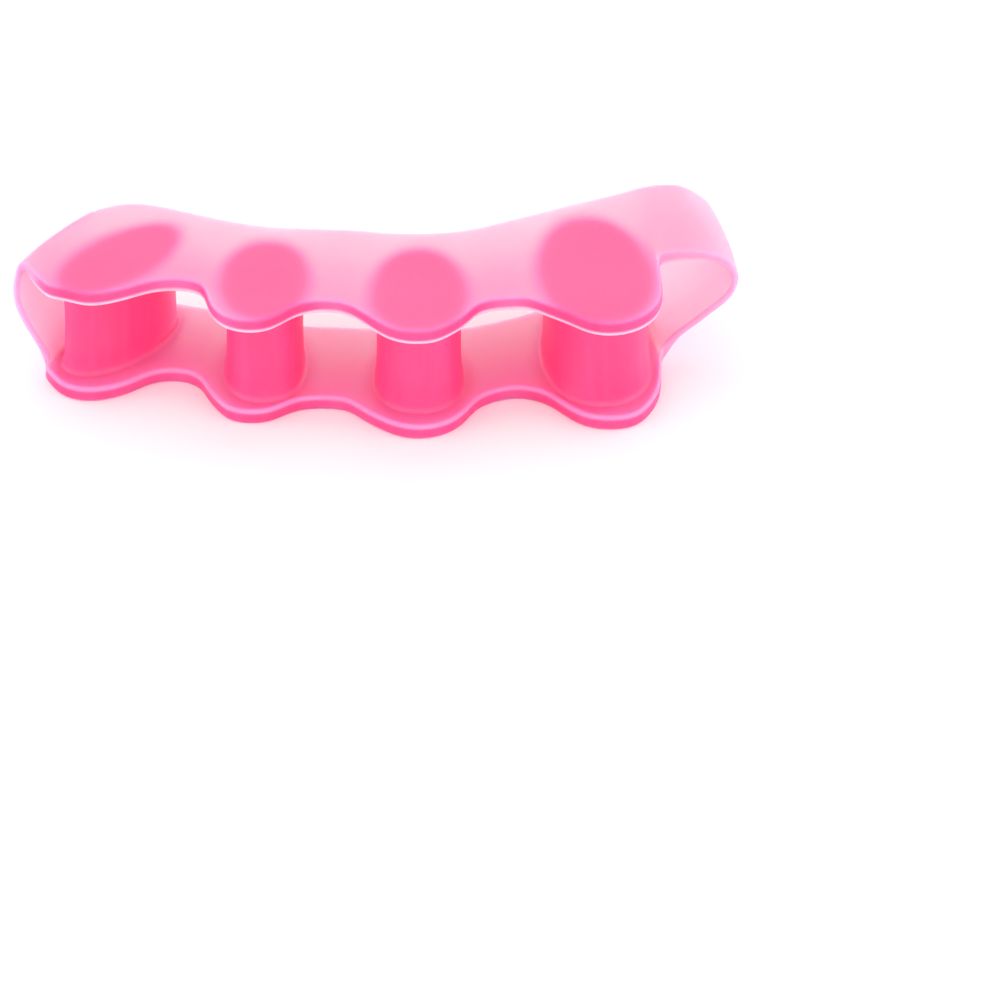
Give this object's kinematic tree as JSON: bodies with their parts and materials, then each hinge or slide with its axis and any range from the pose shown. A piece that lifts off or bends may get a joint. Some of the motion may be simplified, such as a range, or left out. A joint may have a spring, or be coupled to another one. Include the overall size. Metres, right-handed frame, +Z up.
{
  "type": "toe separator",
  "caption": "Soft gel toe separator: two wavy plates joined by oval posts between the toes, with a loop round the big toe and one round the little toe.",
  "frame": {"origin": "middle of the underside, at the centre of the outline seen from above", "axes": "+X along the row of toes towards the big toe, +Y towards the foot, away from the toe tips, +Z up from the lower plate to the upper one"},
  "size_m": [0.1, 0.0362, 0.018],
  "materials": {
    "pink_gel": "soft see-through pink gel, satin"
  },
  "bodies": {
    "root": {"toe_separator": "pink_gel"}
  },
  "joints": []
}
